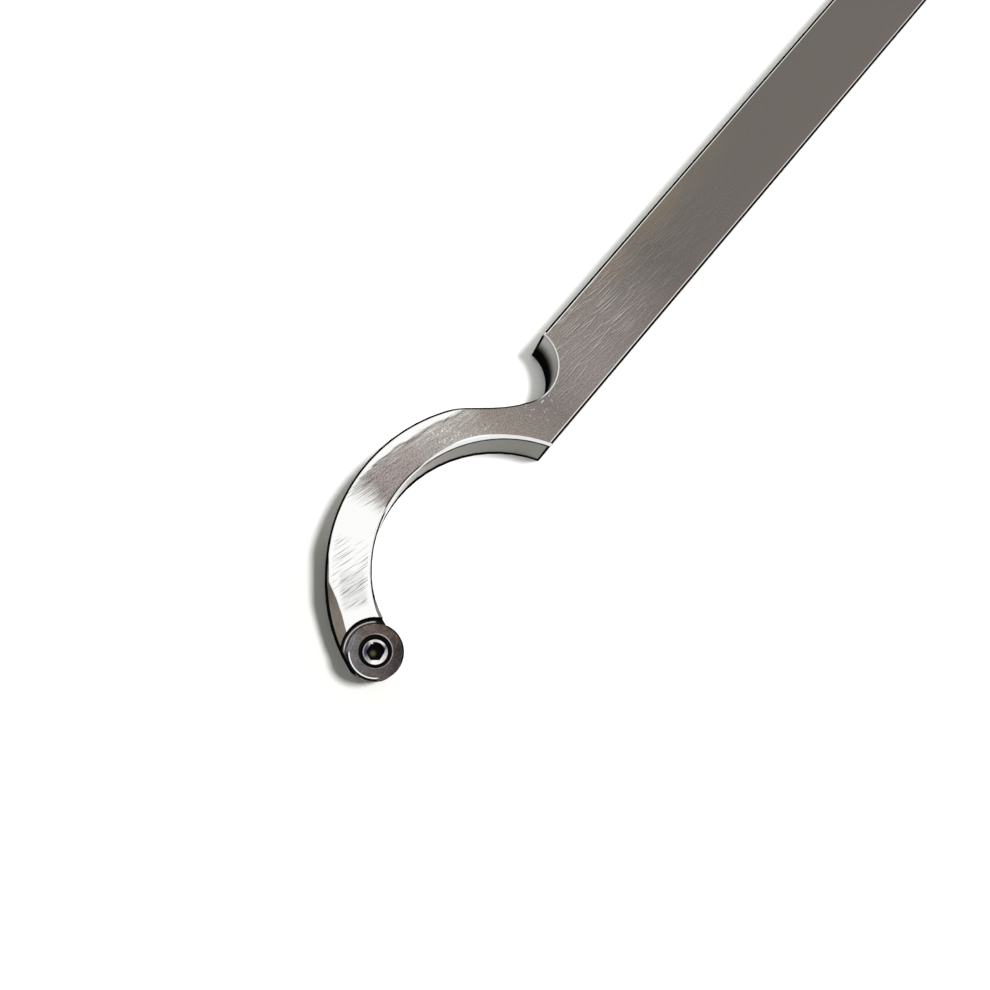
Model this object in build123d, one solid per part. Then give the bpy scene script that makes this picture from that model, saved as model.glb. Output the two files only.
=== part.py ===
from build123d import *
from math import acos, atan2, cos, degrees, hypot, radians, sin, sqrt, tan
import os

# Woodturning hollowing tool, in millimetres.
# The origin is on the underside of the bar, on its centre line, level with the shoulder
# where the hook begins. +X runs along the bar to its tail, +Y to the notched side, +Z up.

# Square bar
bar_side = 12.7
bar_length = 254.0          # shoulder corner to tail end
edge_break = 0.3            # broken edges all round the profile
tail_chamfer = 0.8          # broken edges of the tail end
overrun = 1.0               # how far a cutting shape runs past the steel

# Hook, seen from above
throat_radius = 21.5        # inside arc, which starts at the shoulder corner
throat_drop = 7.7           # centre of the inside arc, out from the bar's plain side
throat_blend_radius = 14.8  # tighter inside arc that runs into the nose
throat_edge_break = 0.55    # wider broken edge along the inside arc, top face
neck_width = 6.1            # outside arc's radius, less the inside arc's
neck_swell = 1.2            # the neck widens by this much towards the tip
neck_swell_angle = 146.0
neck_flat_depth = 0.7       # straight stretch of the neck, inside the circle of the outside arc
neck_flat_angle = 41.8      # the way it faces
neck_shoulder_radius = 12.0 # between the outside arc and the straight stretch
notch_radius = 6.6          # scoop in the notched side
notch_lead_radius = 22.0    # wider arc that leads into the scoop
notch_gap = 0.65            # from the scoop's circle to the line of the straight stretch
nose_angle = 162.5          # nose axis, seen from the centre of the outside arc

# Round cutter
cutter_diameter = 8.9
cutter_thickness = 2.2
cutter_relief = 20.0        # lean of its side, degrees
cutter_bore = 3.3
countersink_mouth = 5.35
countersink_angle = 90.0

# Nose and seat under the cutter
cutter_sink = 0.3           # top of the cutter, below the top of the bar
nose_undercut = 0.25        # nose radius is this much less than the cutter's
nose_shift = 0.3            # cutter axis, off the nose's
nose_shift_angle = 36.0
pocket_clearance = 0.95     # gap left all round the cutter
pocket_opening_angle = 219.0 # the way the pocket is open
relief_land = 1.5           # upright land left under the seat
relief_lean = 4.0           # lean of the flats ground under the cutter, degrees
relief_flats = 5

# Side grind on the outside of the tip
grind_wheel_radius = 40.0
grind_inset = 1.85          # depth of the grind at the top face
grind_angle = 146.3         # where it is deepest, seen from the centre of the outside arc
grind_height = 3.1          # of the ground face, down from the top face
lead_inset = 0.6            # shallow leaning flat ahead of the grind, depth at the top face
lead_angle = 131.0

# Cutter screw
thread_diameter = 3.0
thread_clearance = 0.05
point_height = 2.2          # end of the screw, above the underside
head_diameter = 4.2
head_rim = 0.35             # upright rim of the head
head_edge_break = 0.12
hex_across_flats = 2.5
hex_turn = 9.5              # corner of the socket, degrees from +X
hex_depth = 0.95
point_chamfer = 0.4

# Worked out from the sizes above
half_side = bar_side / 2
back_radius = throat_radius + neck_width
cutter_radius = cutter_diameter / 2
cutter_top = bar_side - cutter_sink
seat_height = cutter_top - cutter_thickness
nose_radius = cutter_radius - nose_undercut
pocket_radius = cutter_radius + pocket_clearance


def polar(centre, radius, angle):
    return (centre[0] + radius * cos(radians(angle)), centre[1] + radius * sin(radians(angle)))


def heading(start, end):
    return degrees(atan2(end[1] - start[1], end[0] - start[0]))


def circles_meet(centre_a, radius_a, centre_b, radius_b, side):
    # The point where two circles cross, to the left (side 1) or right (side -1) of the line a to b
    distance = hypot(centre_b[0] - centre_a[0], centre_b[1] - centre_a[1])
    spread = (radius_a**2 + distance**2 - radius_b**2) / (2 * radius_a * distance)
    return polar(centre_a, radius_a, heading(centre_a, centre_b) + side * degrees(acos(spread)))


def swept_arc(centre, radius, start_angle, end_angle):
    middle = polar(centre, radius, (start_angle + end_angle) / 2)
    return ThreePointArc(polar(centre, radius, start_angle), middle, polar(centre, radius, end_angle))


throat_centre = (-sqrt(throat_radius**2 - throat_drop**2), -half_side - throat_drop)
back_centre = polar(throat_centre, neck_swell, neck_swell_angle)
nose_centre = polar(back_centre, back_radius - nose_radius, nose_angle)
cutter_centre = polar(nose_centre, nose_shift, nose_shift_angle)

# The straight stretch, seen from the middle of its line: tangent arcs at both ends of it
flat_middle = polar(back_centre, back_radius - neck_flat_depth, neck_flat_angle)
shoulder_reach = back_radius - neck_shoulder_radius
shoulder_drop = shoulder_reach - neck_flat_depth
flat_start = polar(flat_middle, sqrt(shoulder_reach**2 - shoulder_drop**2), neck_flat_angle + 90)
shoulder_centre = polar(flat_start, neck_shoulder_radius, neck_flat_angle + 180)
notch_off = notch_radius + notch_gap
flat_turn = radians(neck_flat_angle)
notch_along = (notch_off - (half_side - flat_middle[1]) * sin(flat_turn)) / cos(flat_turn)
notch_centre = (flat_middle[0] + notch_along, half_side)
notch_foot = polar(notch_centre, notch_off, neck_flat_angle + 180)
lead_reach = notch_lead_radius - notch_radius
flat_end = polar(notch_foot, sqrt(lead_reach**2 - (lead_reach - notch_gap)**2), neck_flat_angle + 90)
lead_centre = polar(flat_end, notch_lead_radius, neck_flat_angle)

blend_centre = circles_meet(
    throat_centre, throat_radius - throat_blend_radius, nose_centre, nose_radius + throat_blend_radius, -1
)

shoulder_angle = heading(throat_centre, (0, -half_side))
throat_end_angle = heading(throat_centre, blend_centre)
blend_end_angle = heading(blend_centre, nose_centre)
nose_start_angle = heading(nose_centre, blend_centre)
nose_end_angle = nose_angle - 360
shoulder_start_angle = heading(back_centre, shoulder_centre)
notch_start_angle = heading(lead_centre, notch_centre) + 360


def profile():
    # Outline of the whole bar from above, round the hook from the plain side to the notched side
    with BuildSketch() as sketch:
        with BuildLine():
            plain_side = Line((bar_length, -half_side), (0, -half_side))
            swept_arc(throat_centre, throat_radius, shoulder_angle, throat_end_angle)
            swept_arc(blend_centre, throat_blend_radius, throat_end_angle, blend_end_angle)
            swept_arc(nose_centre, nose_radius, nose_start_angle, nose_end_angle)
            swept_arc(back_centre, back_radius, nose_angle, shoulder_start_angle)
            swept_arc(shoulder_centre, neck_shoulder_radius, shoulder_start_angle, neck_flat_angle)
            Line(flat_start, flat_end)
            swept_arc(lead_centre, notch_lead_radius, neck_flat_angle + 180, notch_start_angle)
            notch = swept_arc(notch_centre, notch_radius, notch_start_angle, 360)
            notched_side = Line(notch @ 1, (bar_length, half_side))
            Line(notched_side @ 1, plain_side @ 0)
        make_face()
    return sketch.sketch


def broken_bar():
    # The profile at full height, with the edges of its tail, top and underside broken
    bar = extrude(profile(), bar_side)
    bar = chamfer(bar.faces().sort_by(Axis.X)[-1].edges(), tail_chamfer)
    faces = bar.faces().sort_by(Axis.Z)
    rims = faces[0].edges() + faces[-1].edges()
    return chamfer([edge for edge in rims if edge.center().X < bar_length - 2 * tail_chamfer], edge_break)


def throat_bevel(centre, radius, start_angle, end_angle):
    # Three-cornered ring that widens the broken edge along an inside arc of the top face
    low = bar_side - throat_edge_break
    with BuildSketch(Plane.XZ) as corner:
        with BuildLine():
            Polyline(
                (radius - overrun, low - overrun),
                (radius + throat_edge_break + overrun, bar_side + overrun),
                (radius - overrun, bar_side + overrun),
                close=True,
            )
        make_face()
    ring = revolve(corner.sketch, Axis.Z, end_angle - start_angle)
    return Pos(*centre) * Rot(0, 0, start_angle) * ring


def grind_wheel():
    # Leaning wheel that hollows the outside of the tip, deepest at the top face
    lean = degrees(atan2(grind_inset, grind_height))
    offset = back_radius - grind_inset + grind_wheel_radius / cos(radians(lean))
    seat = Plane(origin=(*polar(back_centre, offset, grind_angle), bar_side),
                 x_dir=(-sin(radians(grind_angle)), cos(radians(grind_angle)), 0),
                 z_dir=(-sin(radians(lean)) * cos(radians(grind_angle)),
                        -sin(radians(lean)) * sin(radians(grind_angle)), cos(radians(lean))))
    return seat * Cylinder(grind_wheel_radius, 6 * bar_side)


def lead_flat():
    # Shallow flat on the outside of the hook, which leans in towards the top face ahead of the grind
    lean = degrees(atan2(lead_inset, grind_height))
    block = Box(bar_side, 2 * bar_side, 3 * bar_side, align=(Align.MIN, Align.CENTER, Align.CENTER))
    seat = polar(back_centre, back_radius - lead_inset, lead_angle)
    return Pos(*seat, bar_side) * Rot(0, 0, lead_angle) * Rot(0, -lean, 0) * block


def pocket():
    # Seat for the cutter, rounded behind it and open to the front
    round_part = Cylinder(pocket_radius, bar_side, align=(Align.CENTER, Align.CENTER, Align.MIN))
    slot = Box(2 * cutter_diameter, 2 * pocket_radius, bar_side, align=(Align.MIN, Align.CENTER, Align.MIN))
    return Pos(*cutter_centre, seat_height) * Rot(0, 0, pocket_opening_angle) * (round_part + slot)


def relief_flat(angle):
    # Flat ground under the seat, which leans in towards the underside
    block = Box(cutter_radius, 2 * cutter_diameter, 2 * bar_side, align=(Align.MIN, Align.CENTER, Align.MAX))
    upright = polar(nose_centre, nose_radius, angle)
    return Pos(*upright, seat_height - relief_land) * Rot(0, 0, angle) * Rot(0, relief_lean, 0) * block


def tool_bar():
    bar = broken_bar()
    bevel_start_angle = shoulder_angle - degrees(overrun / throat_radius)
    bar -= throat_bevel(throat_centre, throat_radius, bevel_start_angle, throat_end_angle)
    bar -= throat_bevel(blend_centre, throat_blend_radius, throat_end_angle, blend_end_angle)
    bar -= grind_wheel()
    bar -= lead_flat()
    bar -= pocket()
    step = (nose_start_angle - nose_end_angle) / (relief_flats + 1)
    for number in range(relief_flats):
        bar -= relief_flat(nose_end_angle + (number + 1) * step)
    bar -= Pos(*cutter_centre) * Cylinder(thread_diameter / 2 + thread_clearance, 4 * bar_side)
    return bar


def carbide_cutter():
    # Round cutter: keen top edge, side that leans in, countersunk hole
    foot_radius = cutter_radius - cutter_thickness * tan(radians(cutter_relief))
    cone_depth = (countersink_mouth - cutter_bore) / 2 / tan(radians(countersink_angle / 2))
    with BuildSketch(Plane.XZ) as half:
        with BuildLine():
            Polyline(
                (cutter_bore / 2, seat_height),
                (foot_radius, seat_height),
                (cutter_radius, cutter_top),
                (countersink_mouth / 2, cutter_top),
                (cutter_bore / 2, cutter_top - cone_depth),
                close=True,
            )
        make_face()
    return Pos(*cutter_centre) * revolve(half.sketch, Axis.Z)


def cutter_screw():
    # Countersunk screw, seated in the cutter's countersink, with a hexagon socket
    half_angle = radians(countersink_angle / 2)
    cone_top = cutter_top - (countersink_mouth - head_diameter) / 2 / tan(half_angle)
    cone_foot = cone_top - (head_diameter - thread_diameter) / 2 / tan(half_angle)
    head_top = cone_top + head_rim
    with BuildSketch(Plane.XZ) as half:
        with BuildLine():
            Polyline(
                (0, point_height),
                (thread_diameter / 2 - point_chamfer, point_height),
                (thread_diameter / 2, point_height + point_chamfer),
                (thread_diameter / 2, cone_foot),
                (head_diameter / 2, cone_top),
                (head_diameter / 2, head_top - head_edge_break),
                (head_diameter / 2 - head_edge_break, head_top),
                (0, head_top),
                close=True,
            )
        make_face()
    screw = Pos(*cutter_centre) * revolve(half.sketch, Axis.Z)
    socket = extrude(RegularPolygon(hex_across_flats / 2, 6, major_radius=False), 2 * hex_depth)
    return screw - Pos(*cutter_centre, head_top - hex_depth) * Rot(0, 0, hex_turn) * socket


nodes = {"tool_bar": tool_bar(), "carbide_cutter": carbide_cutter(), "cutter_screw": cutter_screw()}
os.makedirs("parts", exist_ok=True)
for name, shape in nodes.items():
    export_step(shape, f"parts/{name}.step")
    print(name, round(shape.volume, 1), shape.bounding_box())
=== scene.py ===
import math

import bpy
from mathutils import Matrix, Vector

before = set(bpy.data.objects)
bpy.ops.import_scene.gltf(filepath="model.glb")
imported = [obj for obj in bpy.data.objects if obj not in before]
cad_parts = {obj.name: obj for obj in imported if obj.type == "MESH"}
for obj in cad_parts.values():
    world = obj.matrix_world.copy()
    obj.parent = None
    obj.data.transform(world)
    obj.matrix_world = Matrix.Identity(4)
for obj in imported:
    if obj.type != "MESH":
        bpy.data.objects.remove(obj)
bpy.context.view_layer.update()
print("model loaded:", ", ".join(sorted(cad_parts)))


# camera, solved from the bar's edges; lengths in metres
cameraSetup = {
    "place": (-0.05809, -0.00796, 0.22407),
    "aim": (-0.01204, -0.00463, 0.0127),
    "pictureUp": 39.5,      # compass heading that points up the picture, degrees from +X
    "lens": 49.44,          # millimetres, on a square picture
    "sensor": 36.0,
    "near": 0.01,
    "far": 50,
}


def placeCamera(setup):
    place = Vector(setup["place"])
    heading = math.radians(setup["pictureUp"])
    forward = (Vector(setup["aim"]) - place).normalized()
    right = forward.cross(Vector((math.cos(heading), math.sin(heading), 0))).normalized()
    up = right.cross(forward)
    data = bpy.data.cameras.new("camera")
    data.sensor_fit = "HORIZONTAL"
    data.sensor_width = setup["sensor"]
    data.lens = setup["lens"]
    data.clip_start = setup["near"]
    data.clip_end = setup["far"]
    camera = bpy.data.objects.new("camera", data)
    turned = Matrix((right, up, -forward)).transposed().to_4x4()
    camera.matrix_world = Matrix.Translation(place) @ turned
    bpy.context.collection.objects.link(camera)
    bpy.context.scene.camera = camera


placeCamera(cameraSetup)
print("camera placed")


# small helpers for the node trees
def addNode(tree, kind, inputs=None, **settings):
    node = tree.nodes.new(kind)
    for name, value in settings.items():
        setattr(node, name, value)
    for name, value in (inputs or {}).items():
        socket = node.inputs[name]
        if isinstance(value, bpy.types.NodeSocket):
            tree.links.new(value, socket)
        else:
            socket.default_value = value
    return node


def calc(tree, operation, first, second=None, clamp=False):
    values = {0: first}
    if second is not None:
        values[1] = second
    return addNode(tree, "ShaderNodeMath", values, operation=operation, use_clamp=clamp).outputs[0]


def plus(tree, first, second):
    return calc(tree, "ADD", first, second)


def minus(tree, first, second):
    return calc(tree, "SUBTRACT", first, second)


def times(tree, first, second):
    return calc(tree, "MULTIPLY", first, second)


def below(tree, value, limit):
    return calc(tree, "LESS_THAN", value, limit)


def above(tree, value, limit):
    return calc(tree, "GREATER_THAN", value, limit)


def both(tree, *masks):
    result = masks[0]
    for mask in masks[1:]:
        result = times(tree, result, mask)
    return result


def either(tree, *masks):
    result = masks[0]
    for mask in masks[1:]:
        result = calc(tree, "MAXIMUM", result, mask)
    return result


def opposite(tree, mask):
    return minus(tree, 1.0, mask)


def ramp(tree, value, low, high, outLow=0.0, outHigh=1.0, smooth=False):
    kind = "SMOOTHSTEP" if smooth else "LINEAR"
    node = addNode(tree, "ShaderNodeMapRange", {
        "Value": value, "From Min": low, "From Max": high, "To Min": outLow, "To Max": outHigh,
    }, interpolation_type=kind, clamp=True)
    return node.outputs[0]


def fade(tree, value, low, high):
    # 1 up to low, falling to 0 at high
    return ramp(tree, value, low, high, 1.0, 0.0)


def band(tree, value, low, high, soft):
    # 1 between low and high, with soft sides
    rise = ramp(tree, value, low - soft, low, smooth=True)
    fall = ramp(tree, value, high, high + soft, 1.0, 0.0, smooth=True)
    return times(tree, rise, fall)


def mixed(tree, amount, under, over):
    return addNode(tree, "ShaderNodeMix", {0: amount, 2: under, 3: over}).outputs[0]


def tint(tree, amount, under, over, blend="MIX"):
    node = addNode(tree, "ShaderNodeMix", {0: amount, 6: under, 7: over}, data_type="RGBA", blend_type=blend)
    return node.outputs[2]


def shaded(tree, colour, value):
    # colour made darker or lighter by a value round 1
    level = addNode(tree, "ShaderNodeCombineColor", {0: value, 1: value, 2: value}).outputs[0]
    return tint(tree, 1.0, colour, level, "MULTIPLY")


def stops(tree, value, colours):
    # colour that changes along a value; colours is a list of (value, colour)
    low, high = colours[0][0], colours[-1][0]
    node = addNode(tree, "ShaderNodeValToRGB", {0: ramp(tree, value, low, high)})
    bar = node.color_ramp.elements
    while len(bar) < len(colours):
        bar.new(0.5)
    for element, (at, colour) in zip(bar, colours):
        element.position = (at - low) / (high - low)
        element.color = colour
    return node.outputs[0]


def curved(tree, value, points, tallest=1.0):
    # height read off a smooth curve through points, a list of (value, height)
    low, high = points[0][0], points[-1][0]
    node = addNode(tree, "ShaderNodeFloatCurve", {1: ramp(tree, value, low, high)})
    line = node.mapping.curves[0].points
    line[0].location = (0.0, points[0][1] / tallest)
    line[1].location = (1.0, points[-1][1] / tallest)
    for at, height in points[1:-1]:
        line.new((at - low) / (high - low), height / tallest)
    node.mapping.update()
    return times(tree, node.outputs[0], tallest)


def fromCentre(tree, parts, centre):
    # heading in degrees and distance in millimetres, seen from above
    offX = minus(tree, parts[0], centre[0])
    offY = minus(tree, parts[1], centre[1])
    angle = times(tree, calc(tree, "ARCTAN2", offY, offX), 180 / math.pi)
    square = plus(tree, times(tree, offX, offX), times(tree, offY, offY))
    return angle, calc(tree, "SQRT", square)


def pictureAngle(tree, angle, pictureRight):
    # degrees anticlockwise from the picture's right, 0 to 360
    return calc(tree, "MODULO", plus(tree, angle, 360.0 - pictureRight), 360.0)


def newMaterial(name):
    material = bpy.data.materials.new(name)
    material.use_nodes = True
    material.node_tree.nodes.clear()
    return material, material.node_tree


def placeOn(tree):
    # where each point lies on the part in millimetres, whole and as x, y, z
    raw = addNode(tree, "ShaderNodeTexCoord").outputs["Object"]
    place = addNode(tree, "ShaderNodeVectorMath", {
        0: raw, 1: (1000, 1000, 1000),
    }, operation="MULTIPLY").outputs[0]
    return place, addNode(tree, "ShaderNodeSeparateXYZ", {0: place}).outputs


def newGroup(name, inputs, outputs):
    tree = bpy.data.node_groups.new(name, "ShaderNodeTree")
    for label, kind, value in inputs:
        socket = tree.interface.new_socket(label, in_out="INPUT", socket_type="NodeSocket" + kind)
        if value is not None:
            socket.default_value = value
    for label, kind in outputs:
        tree.interface.new_socket(label, in_out="OUTPUT", socket_type="NodeSocket" + kind)
    return tree, tree.nodes.new("NodeGroupInput").outputs, tree.nodes.new("NodeGroupOutput").inputs


def putGroup(tree, group, values, place=None):
    node = tree.nodes.new("ShaderNodeGroup")
    node.node_tree = group
    if place is not None:
        tree.links.new(place, node.inputs["Place"])
    for name, value in values.items():
        node.inputs[name].default_value = value
    return node.outputs


# shared effects; every length in them is in millimetres
def turnedParts(tree, place, heading):
    # x, y, z after a turn that lays the heading along x
    turned = addNode(tree, "ShaderNodeVectorRotate", {
        "Vector": place, "Angle": times(tree, heading, -math.pi / 180),
    }, rotation_type="Z_AXIS").outputs[0]
    return addNode(tree, "ShaderNodeSeparateXYZ", {0: turned}).outputs


def makeScratches():
    # single thin strokes scattered along one heading, a dark line right beside each light one
    tree, given, out = newGroup("scratches", [
        ("Place", "Vector", None), ("Heading", "Float", 0.0), ("Length", "Float", 6.0),
        ("Spacing", "Float", 0.8), ("Line", "Float", 0.16), ("Bend", "Float", 0.02),
        ("Share", "Float", 0.7), ("Lean", "Float", 0.3), ("Seed", "Float", 0.0),
    ], [("Light", "Float"), ("Dark", "Float")])
    parts = turnedParts(tree, given["Place"], given["Heading"])
    cellX = plus(tree, calc(tree, "DIVIDE", parts[0], given["Length"]), given["Seed"])
    cellY = calc(tree, "DIVIDE", parts[1], given["Spacing"])
    cells = addNode(tree, "ShaderNodeTexVoronoi", {
        "Vector": addNode(tree, "ShaderNodeCombineXYZ", {0: cellX, 1: cellY}).outputs[0],
        "Scale": 1.0, "Randomness": 1.0,
    }, voronoi_dimensions="2D")
    middle = addNode(tree, "ShaderNodeSeparateXYZ", {0: cells.outputs["Position"]}).outputs
    chance = addNode(tree, "ShaderNodeSeparateColor", {0: cells.outputs["Color"]}).outputs
    along = minus(tree, cellX, middle[0])
    off = times(tree, minus(tree, cellY, middle[1]), given["Spacing"])
    reach = times(tree, along, given["Length"])
    lean = times(tree, minus(tree, chance[0], 0.5), given["Lean"])
    curve = times(tree, times(tree, reach, reach), given["Bend"])
    off = minus(tree, off, plus(tree, times(tree, reach, lean), curve))
    taper = fade(tree, calc(tree, "ABSOLUTE", along), 0.1, 0.5)
    strength = times(tree, taper, ramp(tree, chance[1], 0.0, 1.0, 0.25, 1.0))
    strength = times(tree, strength, below(tree, chance[2], given["Share"]))
    for label, side in (("Light", 0.5), ("Dark", -0.5)):
        away = calc(tree, "ABSOLUTE", minus(tree, off, times(tree, given["Line"], side)))
        line = ramp(tree, calc(tree, "DIVIDE", away, given["Line"]), 0.25, 0.75, 1.0, 0.0, smooth=True)
        tree.links.new(times(tree, line, strength), out[label])
    return tree


def makeBrushing():
    # soft even streaks that run one way
    tree, given, out = newGroup("brushing", [
        ("Place", "Vector", None), ("Heading", "Float", 0.0), ("Length", "Float", 3.0),
        ("Width", "Float", 0.25), ("Seed", "Float", 0.0),
    ], [("Field", "Float")])
    parts = turnedParts(tree, given["Place"], given["Heading"])
    squeezed = addNode(tree, "ShaderNodeCombineXYZ", {
        0: calc(tree, "DIVIDE", parts[0], given["Length"]), 1: calc(tree, "DIVIDE", parts[1], given["Width"]),
        2: calc(tree, "DIVIDE", parts[2], given["Width"]),
    }).outputs[0]
    field = addNode(tree, "ShaderNodeTexNoise", {
        "Vector": squeezed, "Scale": 1.0, "Detail": 1.0, "Roughness": 0.5, "W": given["Seed"],
    }, noise_dimensions="4D").outputs[0]
    tree.links.new(field, out["Field"])
    return tree


def makeSpecks():
    # small round pits or bright dots, scattered
    tree, given, out = newGroup("specks", [
        ("Place", "Vector", None), ("Spacing", "Float", 1.2), ("Size", "Float", 0.2), ("Share", "Float", 0.3),
    ], [("Mask", "Float")])
    cells = addNode(tree, "ShaderNodeTexVoronoi", {
        "Vector": given["Place"], "Scale": calc(tree, "DIVIDE", 1.0, given["Spacing"]), "Randomness": 1.0,
    })
    size = calc(tree, "DIVIDE", given["Size"], given["Spacing"])
    dot = ramp(tree, cells.outputs["Distance"], times(tree, size, 0.4), size, 1.0, 0.0, smooth=True)
    pick = addNode(tree, "ShaderNodeSeparateColor", {0: cells.outputs["Color"]}).outputs[0]
    tree.links.new(times(tree, dot, below(tree, pick, given["Share"])), out["Mask"])
    return tree


def makeMottle():
    # cloudy, even variation round 0.5
    tree, given, out = newGroup("mottle", [
        ("Place", "Vector", None), ("Size", "Float", 5.0), ("Detail", "Float", 3.0), ("Contrast", "Float", 1.5),
    ], [("Mask", "Float")])
    cloud = addNode(tree, "ShaderNodeTexNoise", {
        "Vector": given["Place"], "Scale": calc(tree, "DIVIDE", 1.0, given["Size"]), "Detail": given["Detail"],
        "Roughness": 0.6,
    }).outputs[0]
    centred = times(tree, minus(tree, cloud, 0.5), given["Contrast"])
    tree.links.new(calc(tree, "ADD", centred, 0.5, clamp=True), out["Mask"])
    return tree


def makeBrokenEdges():
    # finds the bevels that face partly up, the upright walls, and a thin line beside any edge
    tree, given, out = newGroup("brokenEdges", [("Reach", "Float", 0.2)], [
        ("Bevel", "Float"), ("Wall", "Float"), ("Line", "Float"),
    ])
    shape = addNode(tree, "ShaderNodeNewGeometry").outputs
    up = addNode(tree, "ShaderNodeSeparateXYZ", {0: shape["True Normal"]}).outputs[2]
    lean = calc(tree, "ABSOLUTE", minus(tree, up, 0.707))
    tree.links.new(fade(tree, lean, 0.08, 0.12), out["Bevel"])
    tree.links.new(fade(tree, calc(tree, "ABSOLUTE", up), 0.55, 0.59), out["Wall"])
    rounded = addNode(tree, "ShaderNodeBevel", {0: times(tree, given["Reach"], 0.001)}, samples=6).outputs[0]
    match = addNode(tree, "ShaderNodeVectorMath", {
        0: rounded, 1: shape["True Normal"],
    }, operation="DOT_PRODUCT").outputs[1]
    tree.links.new(fade(tree, match, 0.945, 0.99), out["Line"])
    return tree


scratches = makeScratches()
brushing = makeBrushing()
specks = makeSpecks()
mottle = makeMottle()
brokenEdges = makeBrokenEdges()
print("shared effects made")


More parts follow.
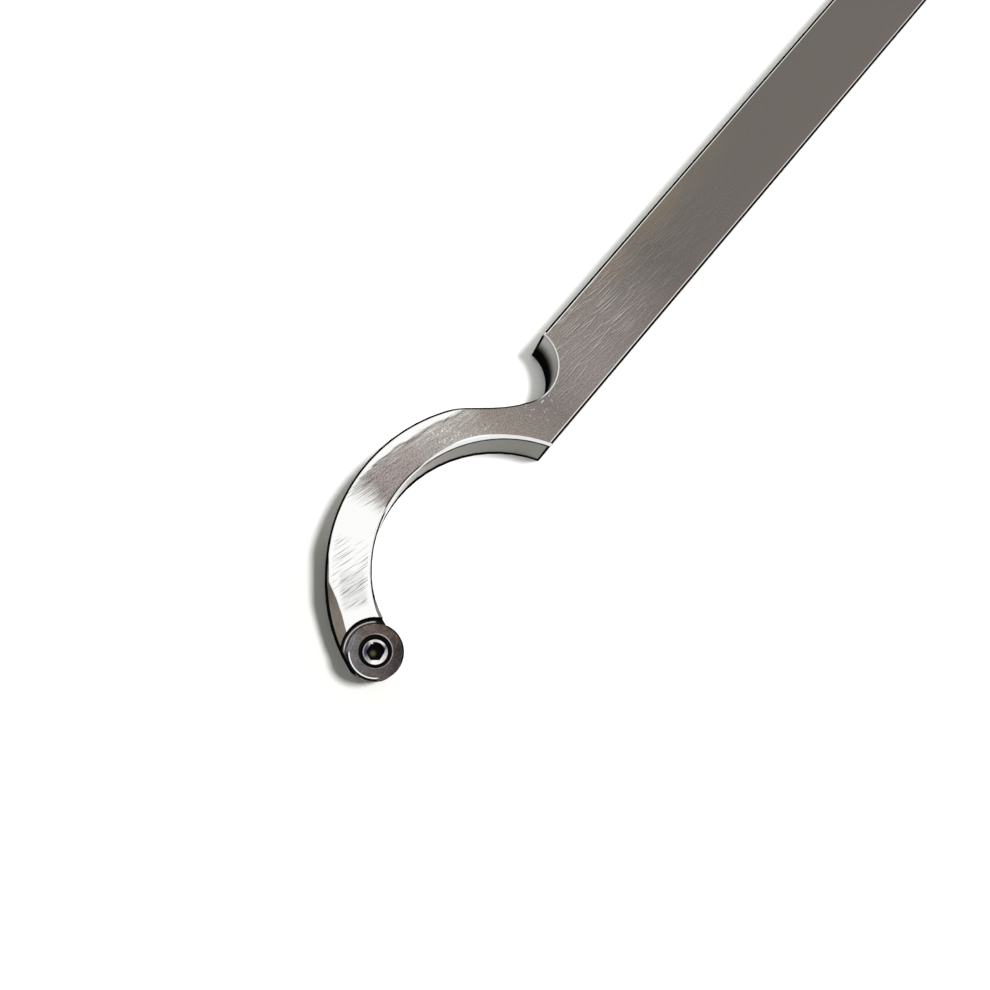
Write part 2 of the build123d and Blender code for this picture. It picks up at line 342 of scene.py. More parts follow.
# the bar: ground square steel, brighter where the tip is polished, with a painted reflection, painted highlights
# and painted shade on it; lengths in millimetres
barLook = {
    "toneAndSheenAlongBar": [           # millimetres along the bar, then the steel's colour there, with a painted sheen brightest near the elbow
        (-30, (0.31, 0.275, 0.26, 1)), (-17, (0.35, 0.305, 0.29, 1)), (-9, (0.45, 0.42, 0.39, 1)),
        (-3, (0.30, 0.265, 0.235, 1)), (5, (0.225, 0.20, 0.185, 1)), (14, (0.285, 0.252, 0.237, 1)),
        (24, (0.255, 0.226, 0.209, 1)), (36, (0.165, 0.148, 0.136, 1)), (62, (0.165, 0.150, 0.134, 1)),
        (260, (0.185, 0.168, 0.152, 1)),
    ],
    "throatWallAndHighlight": [         # heading from the throat's centre, then the wall's colour there, paler towards the tip as a painted highlight
        (18, (0.145, 0.142, 0.124, 1)), (45, (0.153, 0.150, 0.132, 1)), (58, (0.176, 0.166, 0.147, 1)),
        (67, (0.205, 0.188, 0.172, 1)), (76, (0.270, 0.243, 0.228, 1)), (85, (0.42, 0.395, 0.385, 1)),
        (92, (0.64, 0.62, 0.61, 1)), (98, (0.9, 0.9, 0.89, 1)),
    ],
    "notchWallAndShade": [          # the same for the notch, darker towards one end as painted shade
        (-90, (0.060, 0.058, 0.054, 1)), (-70, (0.135, 0.13, 0.122, 1)), (-50, (0.20, 0.195, 0.18, 1)),
        (-30, (0.255, 0.25, 0.235, 1)), (-5, (0.34, 0.335, 0.315, 1)),
    ],
    "outerWall": (0.22, 0.205, 0.185, 1),
    "tipWall": (0.150, 0.130, 0.108, 1),
    "tipShade": (0.045, 0.040, 0.036, 1),
    "brown": (0.30, 0.23, 0.15, 1),
    "mauve": (0.19, 0.155, 0.15, 1),
    "polishAndReflectionColour": (0.93, 0.93, 0.915, 1),
    "bevelHighlight": (1, 1, 1, 1),
    "brightLine": (0.86, 0.86, 0.84, 1),
    "darkLine": (0.004, 0.004, 0.004, 1),
    "lightStroke": (0.82, 0.79, 0.77, 1),
    "darkStroke": (0.02, 0.016, 0.015, 1),
    "glint": (0.85, 0.83, 0.8, 1),
    "crescentBorder": (0.07, 0.055, 0.045, 1),
    "hatchVeil": (0.2, 0.19, 0.18, 1),
    "hatch": (0.05, 0.045, 0.04, 1),
    "seatShadeTones": ((0.06, 0.045, 0.04, 1), (0.16, 0.12, 0.11, 1)),
    "rougher": 0.42,
    "smoother": 0.26,
    "wallRough": 0.5,
    "strokeDepth": 0.00003,     # metres
    "longStrokes": {
        "Heading": -5.0, "Length": 8.0, "Spacing": 0.5, "Line": 0.11, "Bend": 0.012, "Share": 0.85, "Seed": 3.3,
    },
    "shortStrokes": {
        "Heading": -11.0, "Length": 4.0, "Spacing": 0.42, "Line": 0.11, "Bend": -0.02, "Share": 0.6, "Seed": 9.7,
    },
    "hatchStrokes": {
        "Heading": -14.0, "Length": 4.5, "Spacing": 0.46, "Line": 0.13, "Bend": 0.01, "Share": 0.85, "Lean": 0.12,
        "Seed": 14.2,
    },
    "fineBrushing": {"Heading": -15.0, "Length": 2.6, "Width": 0.13, "Seed": 5.0},
    "broadBrushing": {"Heading": -15.0, "Length": 9.0, "Width": 0.9, "Seed": 8.0},
    "patches": {"Size": 6.0, "Detail": 2.0, "Contrast": 3.0},
    "grain": {"Size": 0.24, "Detail": 1.0, "Contrast": 2.2},
    "cloud": {"Size": 9.0, "Detail": 2.0, "Contrast": 2.2},
    "pits": {"Spacing": 0.42, "Size": 0.19, "Share": 0.34},
    "strokesAlong": [       # millimetres along the bar, then how strong the strokes are there
        (-30, 0.0), (0, 0.0), (4, 0.1), (8, 0.7), (14, 1.0), (23, 1.0), (29, 0.6), (36, 0.32), (44, 0.16),
        (54, 0.06), (64, 0.0),
    ],
    "grainAlong": [         # and how lively the ground finish is
        (-30, 1.5), (-14, 1.35), (0, 1.0), (14, 1.0), (30, 0.8), (44, 0.5), (60, 0.3), (90, 0.18),
    ],
    "crescent": [           # heading from the hook's centre, then how far in the outer polish and its painted reflection reach
        (46, 0.0), (48, 0.1), (53, 0.6), (58, 1.05), (63, 1.3), (68, 1.45), (73, 1.7), (78, 1.5), (83, 1.4),
        (88, 1.05), (94, 0.8), (112, 0.5),
    ],
    "tipOutline": [         # the same heading, then how wide the tip's painted shade outline is
        (110, 0.36), (124, 0.42), (130, 0.4), (138, 0.36), (146, 0.26), (156, 0.12),
    ],
    "throatEdge": [         # heading from the throat's centre, then how wide the painted highlight on its upper edge is
        (15, 0.48), (35, 0.54), (45, 0.66), (55, 0.82), (65, 0.58), (72, 0.42), (78, 0.3), (86, 0.24), (100, 0.2),
        (104, 0.6), (150, 0.6),
    ],
    "hookCentre": (-21.07, -13.38),
    "hookRadius": 27.6,
    "throatCentre": (-20.07, -14.05),
    "throatRadius": 21.5,
    "throatBreak": 0.55,
    "notchCentre": (7.1, 6.35),
    "notchRadius": 7.2,
    "shoulder": (0.0, -6.35),
    "notchEnd": (13.7, 6.35),
    "cutterCentre": (-43.14, -6.17),
    "pocketRadius": 5.4,
    "seat": 10.2,
    "top": 12.7,
    "halfWide": 6.35,
    "edgeReach": 0.2,
    "footLine": 0.52,       # width of the painted shade line at the foot of the throat, seen from above the tip
    "footTallest": 5.5,
    "overTip": (-58.1, -8.0),
    "overTipHeight": 212.0,
}


def makeBarSteel(look):
    material, tree = newMaterial("groundBarSteel")
    place, parts = placeOn(tree)
    shape = addNode(tree, "ShaderNodeNewGeometry").outputs
    faces = addNode(tree, "ShaderNodeSeparateXYZ", {0: shape["True Normal"]}).outputs
    angle, distance = fromCentre(tree, parts, look["hookCentre"])
    throatAngle, throatDistance = fromCentre(tree, parts, look["throatCentre"])
    notchAngle, notchDistance = fromCentre(tree, parts, look["notchCentre"])
    seatAngle, seatDistance = fromCentre(tree, parts, look["cutterCentre"])
    depth = minus(tree, look["hookRadius"], distance)
    edges = putGroup(tree, brokenEdges, {"Reach": look["edgeReach"]})
    wallMask = edges["Wall"]
    topFace = opposite(tree, wallMask)

    longer = putGroup(tree, scratches, look["longStrokes"], place)
    shorter = putGroup(tree, scratches, look["shortStrokes"], place)
    hatched = putGroup(tree, scratches, look["hatchStrokes"], place)
    fine = putGroup(tree, brushing, look["fineBrushing"], place)["Field"]
    broad = putGroup(tree, brushing, look["broadBrushing"], place)["Field"]
    patches = putGroup(tree, mottle, look["patches"], place)["Mask"]
    grain = putGroup(tree, mottle, look["grain"], place)["Mask"]
    cloud = putGroup(tree, mottle, look["cloud"], place)["Mask"]
    pits = putGroup(tree, specks, look["pits"], place)["Mask"]
    sway = minus(tree, fine, 0.5)
    drift = minus(tree, broad, 0.5)

    # ground finish: browner on one side, mauve on the other, and calmer up the bar; its colour along the bar
    # carries a painted sheen, brightest near the elbow
    base = stops(tree, parts[0], look["toneAndSheenAlongBar"])
    brownSide = both(tree, ramp(tree, parts[1], 2.0, 6.0), band(tree, parts[0], 14, 50, 20))
    base = tint(tree, both(tree, brownSide, ramp(tree, cloud, 0.2, 0.9, 0.15, 0.45)), base, look["brown"])
    mauveSide = both(tree, ramp(tree, parts[1], -2.5, -6.0), ramp(tree, parts[0], 14.0, 30.0))
    base = tint(tree, times(tree, mauveSide, 0.5), base, look["mauve"])
    streaky = ramp(tree, parts[0], -10.0, 10.0, 0.6, 0.14)
    uneven = plus(tree, times(tree, minus(tree, grain, 0.5), 0.62), both(tree, sway, streaky))
    lively = curved(tree, parts[0], look["grainAlong"], 1.5)
    base = shaded(tree, base, plus(tree, both(tree, uneven, lively), 1.0))

    # strokes, most beside the notch and none far up the bar, and bright pits at the elbow drawn as painted glints
    thick = curved(tree, parts[0], look["strokesAlong"])
    thick = both(tree, thick, ramp(tree, patches, 0.2, 0.8, 0.65, 1.0),
                 ramp(tree, parts[1], -5.5, -1.5, 0.2, 1.0))
    darkStrokes = either(tree, longer["Dark"], shorter["Dark"])
    lightStrokes = either(tree, longer["Light"], shorter["Light"])
    base = tint(tree, both(tree, darkStrokes, thick, 0.95), base, look["darkStroke"])
    base = tint(tree, both(tree, lightStrokes, thick, 0.7), base, look["lightStroke"])
    atElbow = both(tree, band(tree, parts[0], -10, 4, 5), ramp(tree, cloud, 0.2, 0.6))
    base = tint(tree, both(tree, pits, atElbow, 0.85), base, look["glint"])

    # polished tip, near white as polish and a painted reflection: past a hatched line across the hook, and a
    # crescent along its outside, with painted glints near the crescent
    boundary = minus(tree, plus(tree, angle, times(tree, drift, 5.0)), ramp(tree, depth, 4.0, 7.5, 0.0, 5.0))
    across = ramp(tree, boundary, 93.5, 113.5, 0.0, 2.0)
    swayed = plus(tree, across, both(tree, sway, ramp(tree, across, 0.0, 0.3), 1.5))
    pastLine = ramp(tree, swayed, 0.0, 1.0, smooth=True)
    reach = curved(tree, angle, look["crescent"], 3.0)
    ragged = minus(tree, minus(tree, reach, depth), times(tree, sway, 1.2))
    ragged = minus(tree, ragged, times(tree, drift, 0.8))
    onCrescent = above(tree, angle, 47.0)
    inCrescent = both(tree, ramp(tree, ragged, -0.1, 0.06), onCrescent)
    halo = both(tree, ramp(tree, ragged, -1.9, -0.1), ramp(tree, fine, 0.5, 0.64), onCrescent, 0.45)
    polishAndReflection = both(tree, either(tree, pastLine, inCrescent, halo), topFace)
    glints = both(tree, hatched["Light"], band(tree, ragged, -2.4, -0.3, 0.5), onCrescent,
                  ramp(tree, angle, 92.0, 84.0), 0.6)
    crescentBorder = both(tree, band(tree, ragged, -0.34, -0.12, 0.12), onCrescent,
                          ramp(tree, angle, 96.0, 88.0), 0.4)
    base = tint(tree, glints, base, look["glint"])
    base = tint(tree, crescentBorder, base, look["crescentBorder"])
    # polish with a painted reflection, near white
    base = tint(tree, polishAndReflection, base, look["polishAndReflectionColour"])

    # hatching on the polished limb, densest near the tip, and along the border of the polish
    denser = both(tree, band(tree, angle, 132, 141, 4.0), band(tree, depth, 2.8, 5.6, 1.0))
    sparser = both(tree, band(tree, angle, 119, 134, 3), band(tree, depth, 1.4, 6.4, 0.6), 0.85)
    border = both(tree, band(tree, angle, 95.0, 102.0, 4), 0.7)
    strokes = both(tree, hatched["Dark"], either(tree, denser, sparser, border))
    smear = both(tree, ramp(tree, fine, 0.5, 0.7, 0.0, 0.45), either(tree, denser, both(tree, border, 0.8)))
    base = tint(tree, times(tree, denser, 0.18), base, look["hatchVeil"])
    base = tint(tree, either(tree, strokes, smear), base, look["hatch"])

    # walls: paler round the throat towards the tip as a painted highlight, browner on the tip's outside, and
    # painted shade down in the notch
    inNotch = below(tree, notchDistance, look["notchRadius"])
    inThroat = below(tree, throatDistance, look["throatRadius"] + 0.6)
    tipSide = both(tree, ramp(tree, distance, 22.0, 24.0), ramp(tree, angle, 112.0, 120.0))
    throatWallAndHighlight = stops(tree, throatAngle, look["throatWallAndHighlight"])
    notchWallAndShade = stops(tree, notchAngle, look["notchWallAndShade"])
    wall = tint(tree, inThroat, look["outerWall"], throatWallAndHighlight)
    wall = tint(tree, inNotch, wall, notchWallAndShade)
    # the tip's outer wall grows lighter towards the nose as a painted highlight
    tipWall = shaded(tree, look["tipWall"], ramp(tree, angle, 134.0, 156.0, 0.9, 2.0))
    tipWall = shaded(tree, tipWall, plus(tree, ramp(tree, patches, 0.2, 0.8, 0.75, 1.1), sway))
    wall = tint(tree, tipSide, wall, tipWall)
    wall = shaded(tree, wall, ramp(tree, grain, 0.0, 1.0, 0.88, 1.12))
    base = tint(tree, wallMask, base, wall)
    # painted shade on the notch's walls, darkest towards the floor
    notchPaintedShade = both(tree, inNotch, wallMask, ramp(tree, parts[2], 10.5, 4.5, smooth=True))

    # the throat's upper edge: a painted highlight on its bevel, with a painted shade line that moves from its
    # foot to its top and back
    edge = minus(tree, throatDistance, look["throatRadius"])
    pastBright = minus(tree, edge, curved(tree, throatAngle, look["throatEdge"]))
    besideThroat = both(tree, above(tree, throatAngle, 15), below(tree, throatAngle, 150))
    throatHighlight = both(tree, fade(tree, pastBright, -0.04, 0.04), topFace, besideThroat, above(tree, edge, -0.02))
    base = tint(tree, throatHighlight, base, look["bevelHighlight"])
    early = ramp(tree, throatAngle, 81.0, 77.0)
    late = ramp(tree, throatAngle, 102.0, 106.0)
    between = minus(tree, opposite(tree, early), late)
    onBevel = both(tree, edges["Bevel"], inThroat)
    # how far each wall turns towards a point above the tip, so that a line on it keeps its width from there
    awayX = times(tree, minus(tree, look["overTip"][0], parts[0]), faces[0])
    awayY = times(tree, minus(tree, look["overTip"][1], parts[1]), faces[1])
    facing = calc(tree, "MAXIMUM", calc(tree, "DIVIDE", plus(tree, awayX, awayY), look["overTipHeight"]), 0.02)
    under = times(tree, minus(tree, look["top"] - look["throatBreak"], parts[2]), facing)
    throatLine = either(
        tree,
        both(tree, onBevel, early, fade(tree, edge, 0.05, 0.09)),
        both(tree, wallMask, inThroat, early, fade(tree, under, 0.07, 0.11), 0.8),
        both(tree, onBevel, between, band(tree, edge, 0.22, 0.38, 0.03)),
        both(tree, onBevel, late, fade(tree, edge, 0.2, 0.24), ramp(tree, throatAngle, 141.0, 146.0, 1.0, 0.8)),
    )

    # painted highlight on the notch's upper edge and painted shade on all the other edges, with a painted
    # highlight line beside them on the shank; the crease and the rim are painted shade too
    notchBright = both(tree, inNotch, ramp(tree, notchAngle, -118.0, -100.0))
    upperEdge = tint(tree, above(tree, parts[2], look["top"] - 0.2), notchWallAndShade, look["brightLine"])
    base = tint(tree, both(tree, edges["Bevel"], notchBright), base, upperEdge)
    plainEdge = both(tree, opposite(tree, inThroat), opposite(tree, notchBright))
    plainWall = both(tree, wallMask, plainEdge, above(tree, parts[2], look["top"] - 0.7), opposite(tree, tipSide))
    fromSide = minus(tree, look["halfWide"], calc(tree, "ABSOLUTE", parts[1]))
    alongShank = both(tree, ramp(tree, parts[0], -0.2, 0.2), plainEdge)
    sideLine = both(tree, band(tree, fromSide, 0.36, 0.47, 0.03), alongShank)
    sideDark = both(tree, fade(tree, fromSide, 0.31, 0.34), alongShank, topFace)
    base = tint(tree, both(tree, sideLine, ramp(tree, parts[0], 10.0, 60.0, 0.95, 0.8)), base, look["brightLine"])
    plainBevel = both(tree, edges["Bevel"], plainEdge, below(tree, parts[2], look["top"] - 0.03),
                      opposite(tree, sideLine))
    crease = both(tree, edges["Line"], topFace, plainEdge, fade(tree, parts[0], -1.0, 1.0),
                  ramp(tree, angle, 124.0, 140.0, 0.9, 0.6), ramp(tree, patches, 0.3, 0.7, 0.4, 1.0))
    rim = both(tree, above(tree, distance, 24.0), band(tree, angle, 44.0, 126.0, 2.0),
               fade(tree, depth, 0.34, 0.4), ramp(tree, parts[2], 12.1, 12.3))

    # the tip's outside, all painted shade: a dark wedge where the grinding starts, a dark outline, and a
    # near-black wall below them
    wedge = both(tree, tipSide, wallMask, ramp(tree, angle, 130.0, 126.0), ramp(tree, parts[2], 9.0, 9.8), 0.97)
    outside = minus(tree, depth, curved(tree, angle, look["tipOutline"]))
    tipLine = both(tree, tipSide, fade(tree, outside, -0.03, 0.03), ramp(tree, angle, 115.0, 119.0))
    lowTip = both(tree, tipSide, wallMask, ramp(tree, parts[2], 9.2, 8.9), ramp(tree, angle, 118.0, 132.0))

    # painted shade: dark lines at the foot of the walls, wider in the throat, and down the two corners of the
    # shank
    footTop = calc(tree, "MINIMUM", calc(tree, "DIVIDE", look["footLine"], facing), look["footTallest"])
    lowDown = fade(tree, calc(tree, "DIVIDE", parts[2], footTop), 0.8, 1.05)
    wider = both(tree, inThroat, fade(tree, throatAngle, 104.0, 112.0))
    foot = both(tree, lowDown, above(tree, parts[2], 0.02), wallMask,
                either(tree, wider, below(tree, parts[2], 0.7)))
    offCorner = calc(tree, "MINIMUM", fromCentre(tree, parts, look["shoulder"])[1],
                     fromCentre(tree, parts, look["notchEnd"])[1])
    cornerLine = both(tree, wallMask, fade(tree, offCorner, 0.36, 0.42))

    # the cutter's seat: floor painted dark as painted shade, with one bright line, and walls painted black as
    # painted shade
    nearSeat = below(tree, seatDistance, look["pocketRadius"] + 0.03)
    onFloor = both(tree, nearSeat, below(tree, parts[2], look["seat"] + 0.02), above(tree, faces[2], 0.5))
    ring = both(tree, band(tree, seatDistance, 4.76, 4.86, 0.06), band(tree, seatAngle, 42.0, 118.0, 14.0),
                ramp(tree, cloud, 0.2, 0.6, 0.7, 1.0), 0.8)
    shadedSeatFloor = tint(tree, ring, tint(tree, grain, *look["seatShadeTones"]), look["brightLine"])
    base = tint(tree, onFloor, base, shadedSeatFloor)
    seatShade = both(tree, onFloor, ramp(tree, seatDistance, 4.98, 5.04))
    seatTail = both(tree, onFloor, band(tree, seatAngle, 0.0, 36.0, 6.0), 0.95)
    seatWall = both(tree, nearSeat, wallMask, above(tree, parts[2], look["seat"] + 0.01))

    # all the painted shade on the bar, gathered into one mask
    paintedShade = either(tree, notchPaintedShade, throatLine, plainBevel, sideDark, both(tree, plainWall, 0.9), crease, rim,
                  wedge, tipLine, foot, cornerLine, seatShade, seatTail, seatWall)
    # the tip's wall below the ground face is painted near black as painted shade
    base = tint(tree, lowTip, base, tint(tree, grain, look["tipShade"], look["darkLine"]))
    base = tint(tree, paintedShade, base, look["darkLine"])
    paintedShade = either(tree, paintedShade, lowTip)
    rough = mixed(tree, polishAndReflection, look["rougher"], look["smoother"])
    rough = mixed(tree, either(tree, wallMask, paintedShade), rough, look["wallRough"])
    height = both(tree, minus(tree, lightStrokes, darkStrokes), thick, opposite(tree, polishAndReflection))
    bump = addNode(tree, "ShaderNodeBump", {
        "Height": height, "Strength": 0.2, "Distance": look["strokeDepth"],
    }).outputs[0]
    shader = addNode(tree, "ShaderNodeBsdfPrincipled", {
        "Base Color": base, "Metallic": opposite(tree, paintedShade), "Roughness": rough, "Normal": bump,
        "Specular IOR Level": 0.0,      # keeps the painted dark lines black at a low angle
    })
    addNode(tree, "ShaderNodeOutputMaterial", {"Surface": shader.outputs[0]})
    return material


# the round cutter: dark ground carbide, with painted light and shade, lighter on the picture's left and darker on
# its right; lengths in millimetres
cutterLook = {
    "across": [             # millimetres across the picture from the cutter's middle, then its colour, lit on the left and shaded on the right as painted light and shade
        (-4.3, (0.200, 0.195, 0.210, 1)), (-2.2, (0.135, 0.120, 0.120, 1)), (0.5, (0.112, 0.094, 0.090, 1)),
        (2.6, (0.070, 0.057, 0.055, 1)), (4.2, (0.035, 0.030, 0.030, 1)),
    ],
    "lip": [                # degrees round the picture, then how bright the painted highlight on the hole's lip is
        (0, 0.5), (60, 0.6), (95, 0.3), (125, 0.1), (185, 0.06), (210, 0.3), (240, 0.5), (265, 0.85), (340, 0.8),
        (360, 0.5),
    ],
    "brown": (0.150, 0.098, 0.070, 1),
    "scuffAndHighlight": (0.6, 0.58, 0.58, 1),
    "rimHighlight": (0.95, 0.95, 0.95, 1),
    "dark": (0.006, 0.006, 0.006, 1),
    "rough": (0.33, 0.46),
    "scuffs": {
        "Heading": 20.0, "Length": 3.0, "Spacing": 0.35, "Line": 0.12, "Bend": 0.06, "Share": 0.7, "Seed": 2.0,
    },
    "cloud": {"Size": 2.5, "Detail": 3.0, "Contrast": 2.4},
    "grain": {"Size": 0.22, "Detail": 2.0, "Contrast": 2.2},
    "centre": (-43.143, -6.166),
    "lipCentre": (-43.05, -6.09),
    "lipRadius": 2.6,
    "pictureRight": -50.5,      # heading that points right across the picture, degrees
}


def makeCarbide(look):
    material, tree = newMaterial("groundCarbide")
    place, parts = placeOn(tree)
    angle, distance = fromCentre(tree, parts, look["centre"])
    around = pictureAngle(tree, angle, look["pictureRight"])
    cloud = putGroup(tree, mottle, look["cloud"], place)["Mask"]
    grain = putGroup(tree, mottle, look["grain"], place)["Mask"]
    scuffs = putGroup(tree, scratches, look["scuffs"], place)
    turn = math.radians(look["pictureRight"])
    across = plus(tree, times(tree, minus(tree, parts[0], look["centre"][0]), math.cos(turn)),
                  times(tree, minus(tree, parts[1], look["centre"][1]), math.sin(turn)))
    base = stops(tree, across, look["across"])
    base = tint(tree, both(tree, band(tree, around, 40.0, 120.0, 30.0), cloud, 0.6), base, look["brown"])
    base = shaded(tree, base, ramp(tree, cloud, 0.0, 1.0, 0.75, 1.25))
    base = shaded(tree, base, ramp(tree, grain, 0.0, 1.0, 0.5, 1.5))
    base = tint(tree, times(tree, scuffs["Light"], 0.12), base, look["scuffAndHighlight"])
    base = tint(tree, times(tree, scuffs["Dark"], 0.35), base, look["dark"])

    # the hole's lip: a thin painted highlight ring that is dull on the left of the picture
    lipDistance = fromCentre(tree, parts, look["lipCentre"])[1]
    lip = band(tree, lipDistance, look["lipRadius"] + 0.02, look["lipRadius"] + 0.13, 0.06)
    inHole = below(tree, lipDistance, look["lipRadius"])
    base = tint(tree, both(tree, lip, curved(tree, around, look["lip"])), base, look["scuffAndHighlight"])

    # painted highlight as a bright rim on the nose's side, and painted shade outside it, as on the rest of the
    # outline
    lowerLeft = band(tree, around, 185.0, 272.0, 8.0)
    rightSide = either(tree, fade(tree, around, 65.0, 75.0), ramp(tree, around, 335.0, 345.0))
    rim = both(tree, lowerLeft, band(tree, distance, 3.98, 4.12, 0.05), 0.95)
    base = tint(tree, rim, base, look["rimHighlight"])
    outline = either(
        tree,
        both(tree, lowerLeft, ramp(tree, distance, 4.16, 4.2)),
        both(tree, band(tree, around, 80.0, 165.0, 15.0), ramp(tree, distance, 4.3, 4.36)),
        both(tree, rightSide, ramp(tree, distance, 4.2, 4.26)),
    )
    # the outline and the hole are painted dark as painted shade
    painted = either(tree, outline, inHole)
    base = tint(tree, painted, base, look["dark"])
    shader = addNode(tree, "ShaderNodeBsdfPrincipled", {
        "Base Color": base, "Metallic": opposite(tree, painted),
        "Roughness": ramp(tree, grain, 0.0, 1.0, *look["rough"]), "Specular IOR Level": 0.0,
    })
    addNode(tree, "ShaderNodeOutputMaterial", {"Surface": shader.outputs[0]})
    return material


# the screw: bright plating with painted reflections as dull and dark patches round the head, and painted shade
# down in the socket; lengths in millimetres
screwLook = {
    "around": [             # degrees round the picture, then the head's colour there, a painted reflection
        (0, (0.45, 0.42, 0.42, 1)), (18, (0.05, 0.05, 0.05, 1)), (40, (0.40, 0.38, 0.38, 1)),
        (62, (0.85, 0.84, 0.85, 1)), (90, (0.60, 0.60, 0.61, 1)), (116, (0.80, 0.74, 0.74, 1)),
        (136, (0.16, 0.13, 0.14, 1)), (158, (0.045, 0.040, 0.065, 1)), (186, (0.060, 0.055, 0.080, 1)),
        (206, (0.22, 0.22, 0.22, 1)), (226, (0.50, 0.50, 0.48, 1)), (252, (0.95, 0.93, 0.93, 1)),
        (290, (0.92, 0.90, 0.90, 1)), (325, (0.62, 0.58, 0.59, 1)), (360, (0.45, 0.42, 0.42, 1)),
    ],
    "greyRim": (0.34, 0.33, 0.36, 1),
    "socket": (0.004, 0.003, 0.005, 1),
    "olive": (0.10, 0.098, 0.040, 1),
    "oliveAt": (-43.47, -6.02),
    "rough": (0.10, 0.20),
    "cloud": {"Size": 1.0, "Detail": 1.0, "Contrast": 2.5},
    "grain": {"Size": 0.3, "Detail": 2.0, "Contrast": 2.0},
    "centre": (-43.143, -6.166),
    "headTop": 12.175,
    "rim": 1.93,
    "pictureRight": -50.5,
}


def makePlate(look):
    material, tree = newMaterial("brightPlating")
    place, parts = placeOn(tree)
    angle, distance = fromCentre(tree, parts, look["centre"])
    cloud = putGroup(tree, mottle, look["cloud"], place)["Mask"]
    grain = putGroup(tree, mottle, look["grain"], place)["Mask"]
    around = pictureAngle(tree, angle, look["pictureRight"])
    wobble = plus(tree, around, ramp(tree, cloud, 0.0, 1.0, -14.0, 14.0))
    base = stops(tree, wobble, look["around"])
    # a grey rim on the head's left, part of the painted reflection
    leftRim = both(tree, band(tree, around, 138.0, 196.0, 12.0), ramp(tree, distance, 1.72, 1.8))
    base = tint(tree, leftRim, base, look["greyRim"])
    inSocket = both(tree, ramp(tree, parts[2], look["headTop"] - 0.03, look["headTop"] - 0.15),
                    below(tree, distance, 1.6))
    farSide = both(tree, band(tree, around, 10.0, 100.0, 12.0), ramp(tree, distance, 1.62, 1.5))
    shadow = either(tree, inSocket, farSide, above(tree, distance, look["rim"]))
    base = tint(tree, shadow, base, look["socket"])
    offOlive = fromCentre(tree, parts, look["oliveAt"])[1]
    gleam = both(tree, ramp(tree, offOlive, 0.05, 0.7, 0.9, 0.0, smooth=True), inSocket)
    base = tint(tree, gleam, base, look["olive"])
    shader = addNode(tree, "ShaderNodeBsdfPrincipled", {
        "Base Color": base, "Metallic": opposite(tree, shadow),
        "Roughness": ramp(tree, grain, 0.0, 1.0, *look["rough"]), "Specular IOR Level": 0.0,
    })
    addNode(tree, "ShaderNodeOutputMaterial", {"Surface": shader.outputs[0]})
    return material


def dress(nodeName, material):
    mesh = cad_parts[nodeName].data
    mesh.materials.clear()
    mesh.materials.append(material)


dress("tool_bar", makeBarSteel(barLook))
dress("carbide_cutter", makeCarbide(cutterLook))
dress("cutter_screw", makePlate(screwLook))
print("steel, carbide and plating put on")


# studio: pale floor, a soft lamp high up, a faint strip lamp over the shank, white surroundings;
# lengths in metres
studio = {
    "floorHalf": 4.0,
    "floorDown": 0.00005,   # keeps the floor just clear of the bar's underside
    "floorTone": (0.98, 0.98, 0.97, 1),
    "lampFrom": (0.158, -0.157, 1.0),
    "lampStrength": 2.62,
    "lampAngle": 7.0,       # degrees across, sets how soft the shadow's edge is
    "stripPlace": (0.0665, 0.012, 0.16),
    "stripSize": (0.157, 0.08),
    "stripSpread": 20.0,
    "stripStrength": 0.0115,
    "fillFrom": (0.64, 0.77, 0.0),
    "fillLow": 0.105,       # light from the far side of the sky, and from the side it leans to
    "fillHigh": 0.475,
    "fillColour": (1.0, 1.0, 0.93, 1),
    "level": 0.72,          # what metal mirrors from the side, and from straight above
    "overhead": 1.06,
}


def makeFloor(setup):
    half, down = setup["floorHalf"], -setup["floorDown"]
    mesh = bpy.data.meshes.new("floor")
    mesh.from_pydata([
        (-half, -half, down), (half, -half, down), (half, half, down), (-half, half, down),
    ], [], [(0, 1, 2, 3)])
    floor = bpy.data.objects.new("floor", mesh)
    bpy.context.collection.objects.link(floor)
    material, tree = newMaterial("paleFloor")
    shader = addNode(tree, "ShaderNodeBsdfDiffuse", {"Color": setup["floorTone"]})
    addNode(tree, "ShaderNodeOutputMaterial", {"Surface": shader.outputs[0]})
    mesh.materials.append(material)


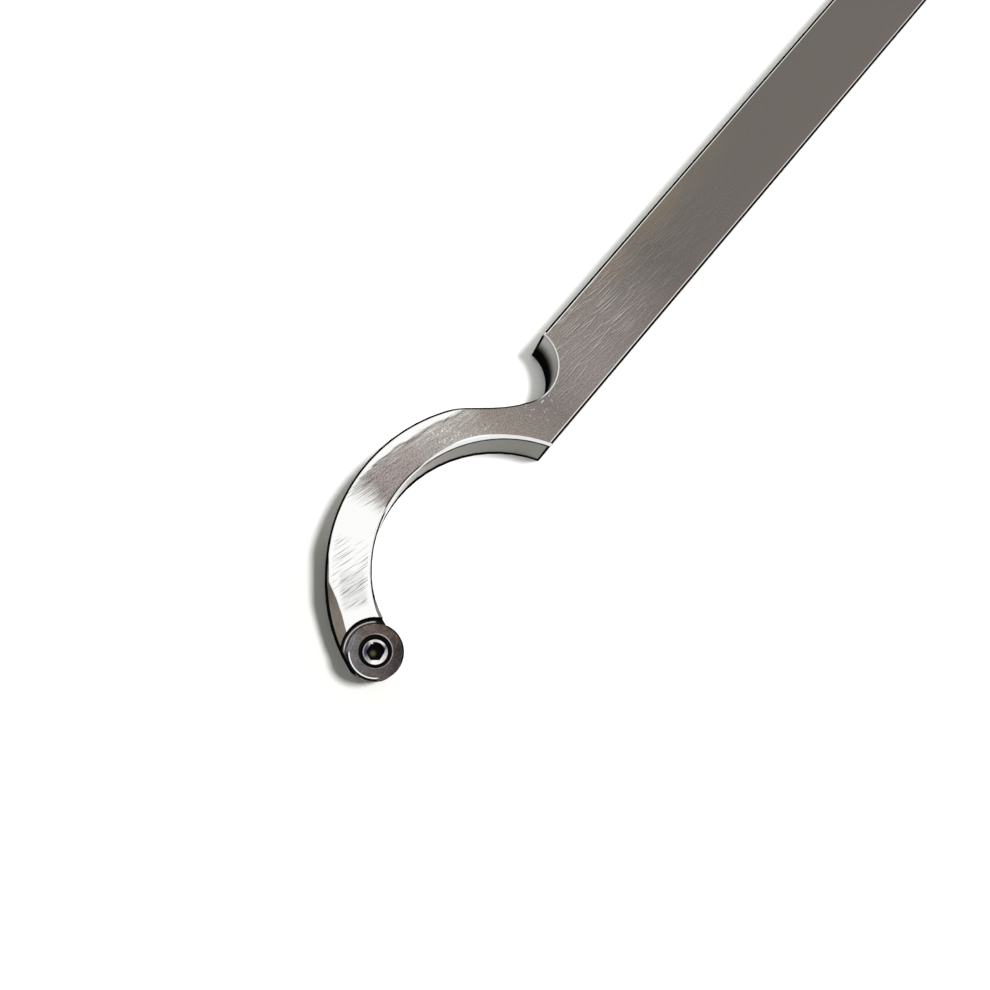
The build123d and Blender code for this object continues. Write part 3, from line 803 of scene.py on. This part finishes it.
def makeLamp(setup):
    data = bpy.data.lights.new("softLamp", "SUN")
    data.energy = setup["lampStrength"]
    data.angle = math.radians(setup["lampAngle"])
    lamp = bpy.data.objects.new("softLamp", data)
    lamp.rotation_euler = Vector(setup["lampFrom"]).to_track_quat("Z", "Y").to_euler()
    lamp.visible_glossy = False
    bpy.context.collection.objects.link(lamp)


def makeStrip(setup):
    # soft light straight down on the notch and the shank, where the shadow is palest
    data = bpy.data.lights.new("stripLamp", "AREA")
    data.shape = "RECTANGLE"
    data.size, data.size_y = setup["stripSize"]
    data.spread = math.radians(setup["stripSpread"])
    data.energy = setup["stripStrength"]
    lamp = bpy.data.objects.new("stripLamp", data)
    lamp.location = setup["stripPlace"]
    lamp.visible_glossy = False
    lamp.visible_camera = False
    bpy.context.collection.objects.link(lamp)


def makeWorld(setup):
    # white to look at, a leaning fill for the floor and the dull parts, and a soft sky for metal to mirror
    world = bpy.data.worlds.new("whiteStudio")
    bpy.context.scene.world = world
    world.use_nodes = True
    tree = world.node_tree
    tree.nodes.clear()
    rays = addNode(tree, "ShaderNodeLightPath").outputs
    sky = addNode(tree, "ShaderNodeTexCoord").outputs["Generated"]
    up = addNode(tree, "ShaderNodeSeparateXYZ", {0: sky}).outputs[2]
    mirrored = ramp(tree, up, 0.2, 0.97, setup["level"], setup["overhead"], smooth=True)
    leaning = addNode(tree, "ShaderNodeVectorMath", {
        0: sky, 1: setup["fillFrom"],
    }, operation="DOT_PRODUCT").outputs[1]
    fill = ramp(tree, leaning, -1.0, 1.0, setup["fillLow"], setup["fillHigh"])
    seen = calc(tree, "MAXIMUM", rays["Is Camera Ray"], rays["Is Transmission Ray"])
    strength = mixed(tree, seen, mixed(tree, rays["Is Glossy Ray"], fill, mirrored), 1.0)
    plain = calc(tree, "MAXIMUM", seen, rays["Is Glossy Ray"])
    colour = tint(tree, plain, setup["fillColour"], (1, 1, 1, 1))
    light = addNode(tree, "ShaderNodeBackground", {"Color": colour, "Strength": strength})
    addNode(tree, "ShaderNodeOutputWorld", {"Surface": light.outputs[0]})


makeFloor(studio)
makeLamp(studio)
makeStrip(studio)
makeWorld(studio)
bpy.context.scene.view_settings.view_transform = "Standard"
print("studio set")
